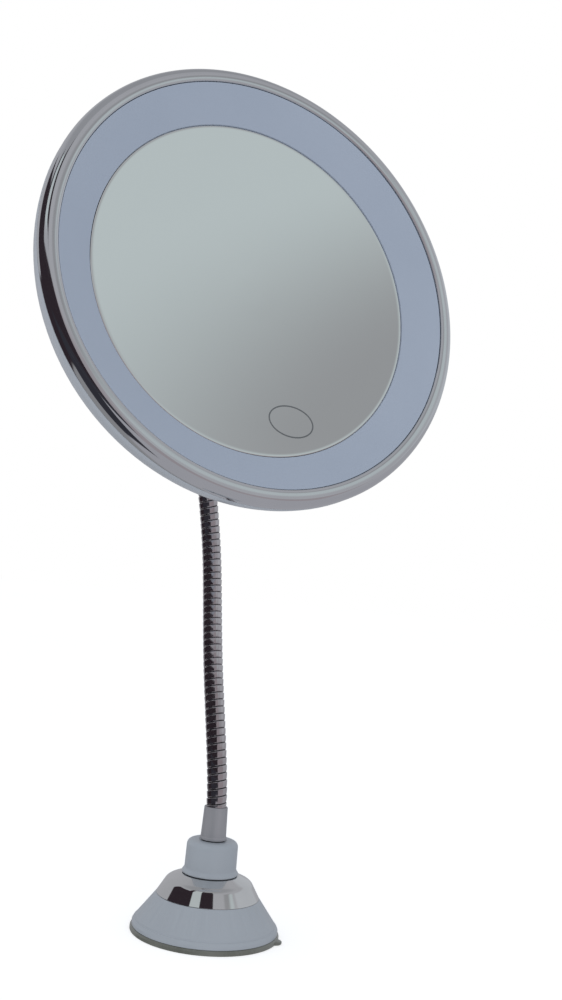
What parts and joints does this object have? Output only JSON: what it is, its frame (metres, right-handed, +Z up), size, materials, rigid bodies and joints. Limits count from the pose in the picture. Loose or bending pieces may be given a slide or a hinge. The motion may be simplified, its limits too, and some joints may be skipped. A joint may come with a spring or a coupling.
{
  "type": "lighted shaving mirror on a gooseneck with a suction foot",
  "caption": "Round magnifying shaving mirror with a lit frosted ring and bright rim, on a bendable gooseneck that rises from a twist-lock suction foot.",
  "frame": {"origin": "centre of the suction foot's underside, on the surface it stands on", "axes": "+Z up; the mirror faces -Y turned 27.2 degrees towards +X and tipped 13.6 degrees up; +X is to the right of someone facing the front of the foot"},
  "size_m": [0.1598, 0.1184, 0.3369],
  "materials": {
    "cup_rubber": "soft translucent rubber, faintly green, satin",
    "white_plastic": "moulded white plastic, semi-gloss",
    "grey_plastic": "dark grey moulded plastic, matt",
    "screw_steel": "zinc plated steel",
    "spring_steel": "drawn spring wire, nickel plated",
    "collar_chrome": "polished chrome plate",
    "nylon": "natural nylon, satin",
    "ferrule_steel": "satin nickel plated steel",
    "gooseneck_chrome": "polished chrome plated spiral steel",
    "core_wire": "soft drawn wire",
    "stud_steel": "polished steel ball and shank",
    "mirror_face": "silvered glass, polished",
    "mark_ink": "grey line printed on the glass",
    "inner_plastic": "white moulded plastic, satin",
    "frosted_plastic": "frosted white plastic that lets the light through",
    "bright_rim": "plated plastic trim, polished like chrome",
    "white_board": "white coated circuit board",
    "led_lens": "clear lens over a yellow phosphor",
    "copper_pad": "copper-clad sensing pad",
    "foam_tape": "black foam mounting tape",
    "green_board": "green circuit board with black components",
    "red_lead": "red insulated wire",
    "white_lead": "white insulated wire",
    "contact_plate": "nickel plated contact plate",
    "cell_jacket": "plain printed jacket, satin"
  },
  "bodies": {
    "base": {"suction_cup": "cup_rubber", "base_skirt": "white_plastic", "base_hub": "grey_plastic", "hub_screws": "screw_steel", "return_spring": "spring_steel", "chrome_collar": "collar_chrome", "knob_washer": "nylon", "lower_ferrule": "ferrule_steel", "neck_anchor": "core_wire", "neck_link_01": "gooseneck_chrome"},
    "stem": {"draw_stem": "grey_plastic", "cross_pin": "screw_steel"},
    "knob": {"lock_knob": "white_plastic"},
    "neck_02": {"neck_link_02": "gooseneck_chrome"},
    "neck_03": {"neck_link_03": "gooseneck_chrome"},
    "neck_04": {"neck_link_04": "gooseneck_chrome"},
    "neck_05": {"neck_link_05": "gooseneck_chrome"},
    "neck_06": {"neck_link_06": "gooseneck_chrome"},
    "neck_07": {"neck_link_07": "gooseneck_chrome"},
    "neck_08": {"neck_link_08": "gooseneck_chrome"},
    "neck_09": {"neck_link_09": "gooseneck_chrome"},
    "neck_10": {"neck_link_10": "gooseneck_chrome"},
    "neck_11": {"neck_link_11": "gooseneck_chrome"},
    "neck_12": {"neck_link_12": "gooseneck_chrome"},
    "neck_13": {"neck_link_13": "gooseneck_chrome", "upper_ferrule": "ferrule_steel"},
    "ball": {"ball_stud": "stud_steel"},
    "liner": {"ball_liner": "nylon"},
    "head": {"socket_housing": "grey_plastic", "socket_cap": "white_plastic", "socket_screws": "screw_steel", "mirror_glass": "mirror_face", "touch_mark": "mark_ink", "light_frame": "inner_plastic", "diffuser_ring": "frosted_plastic", "front_rim": "bright_rim", "back_shell": "white_plastic", "shell_screws": "screw_steel", "led_board": "white_board", "leds": "led_lens", "touch_pad": "copper_pad", "mirror_tape": "foam_tape", "control_board": "green_board", "battery_leads": "red_lead", "led_leads": "white_lead", "battery_springs": "spring_steel", "battery_plates": "contact_plate", "battery_1": "cell_jacket", "battery_2": "cell_jacket", "battery_3": "cell_jacket"},
    "door": {"battery_door": "white_plastic"}
  },
  "joints": [
    {"name": "neck_nod_01", "type": "hinge", "parent": "base", "child": "neck_02", "pos_m": [0, 0, 0.054], "axis": [0.8894, 0.4571, 0], "range_deg": [-10, 19]},
    {"name": "neck_sway_02", "type": "hinge", "parent": "neck_02", "child": "neck_03", "pos_m": [-0.00195, 0.00254, 0.07019], "axis": [0.4487, -0.8731, 0.1908], "range_deg": [-18, 18]},
    {"name": "neck_nod_03", "type": "hinge", "parent": "neck_03", "child": "neck_04", "pos_m": [-0.00428, 0.00707, 0.08588], "axis": [0.8894, 0.4571, 0], "range_deg": [-10, 19]},
    {"name": "neck_sway_04", "type": "hinge", "parent": "neck_04", "child": "neck_05", "pos_m": [-0.00659, 0.01283, 0.10117], "axis": [0.4238, -0.8247, 0.3746], "range_deg": [-18, 18]},
    {"name": "neck_nod_05", "type": "hinge", "parent": "neck_05", "child": "neck_06", "pos_m": [-0.00851, 0.01907, 0.11632], "axis": [0.8894, 0.4571, 0], "range_deg": [-10, 19]},
    {"name": "neck_sway_06", "type": "hinge", "parent": "neck_06", "child": "neck_07", "pos_m": [-0.01018, 0.02485, 0.13169], "axis": [0.4267, -0.8303, 0.3584], "range_deg": [-18, 18]},
    {"name": "neck_nod_07", "type": "hinge", "parent": "neck_07", "child": "neck_08", "pos_m": [-0.012, 0.02902, 0.14754], "axis": [0.8894, 0.4571, 0], "range_deg": [-28, 8]},
    {"name": "neck_sway_08", "type": "hinge", "parent": "neck_08", "child": "neck_09", "pos_m": [-0.01459, 0.0309, 0.16373], "axis": [0.4502, -0.8759, 0.1736], "range_deg": [-9, 15]},
    {"name": "neck_nod_09", "type": "hinge", "parent": "neck_09", "child": "neck_10", "pos_m": [-0.01765, 0.02997, 0.17992], "axis": [0.8894, 0.4571, 0], "range_deg": [-28, 8]},
    {"name": "neck_sway_10", "type": "hinge", "parent": "neck_10", "child": "neck_11", "pos_m": [-0.02093, 0.02581, 0.19554], "axis": [0.4526, -0.8808, -0.1392], "range_deg": [-9, 15]},
    {"name": "neck_nod_11", "type": "hinge", "parent": "neck_11", "child": "neck_12", "pos_m": [-0.02339, 0.01884, 0.2103], "axis": [0.8894, 0.4571, 0], "range_deg": [-28, 8]},
    {"name": "neck_sway_12", "type": "hinge", "parent": "neck_12", "child": "neck_13", "pos_m": [-0.02344, 0.00958, 0.22396], "axis": [0.3918, -0.7624, -0.515], "range_deg": [-9, 15]},
    {"name": "head_spin", "type": "hinge", "parent": "neck_13", "child": "ball", "pos_m": [-0.01714, -0.00781, 0.24363], "axis": [0.233, -0.6441, 0.7286], "continuous": true},
    {"name": "head_pan", "type": "hinge", "parent": "ball", "child": "liner", "pos_m": [-0.01714, -0.00781, 0.24363], "axis": [-0.1075, 0.2091, 0.972], "range_deg": [-22, 22]},
    {"name": "head_tilt", "type": "hinge", "parent": "liner", "child": "head", "pos_m": [-0.01714, -0.00781, 0.24363], "axis": [0.8894, 0.4571, 0], "range_deg": [-70, 6]},
    {"name": "lock_knob_turn", "type": "hinge", "parent": "base", "child": "knob", "pos_m": [0, 0, 0.026], "axis": [0, 0, 1], "range_deg": [0, 90]},
    {"name": "stem_lift", "type": "slide", "parent": "base", "child": "stem", "axis": [0, 0, 1], "range_m": [0, 0.0022], "deforming": ["suction_cup", "return_spring"]},
    {"name": "battery_door_slide", "type": "slide", "parent": "head", "child": "door", "axis": [0.1075, -0.2091, -0.972], "range_m": [0, 0.037]}
  ],
  "couplings": [
    {"joint": "neck_nod_03", "follows": "neck_nod_01", "ratio": 1},
    {"joint": "neck_sway_04", "follows": "neck_sway_02", "ratio": 1},
    {"joint": "neck_nod_05", "follows": "neck_nod_01", "ratio": 1},
    {"joint": "neck_sway_06", "follows": "neck_sway_02", "ratio": 1},
    {"joint": "neck_nod_09", "follows": "neck_nod_07", "ratio": 1},
    {"joint": "neck_sway_10", "follows": "neck_sway_08", "ratio": 1},
    {"joint": "neck_nod_11", "follows": "neck_nod_07", "ratio": 1},
    {"joint": "neck_sway_12", "follows": "neck_sway_08", "ratio": 1},
    {"joint": "stem_lift", "follows": "lock_knob_turn", "m_per_rad": 0.0014006}
  ]
}
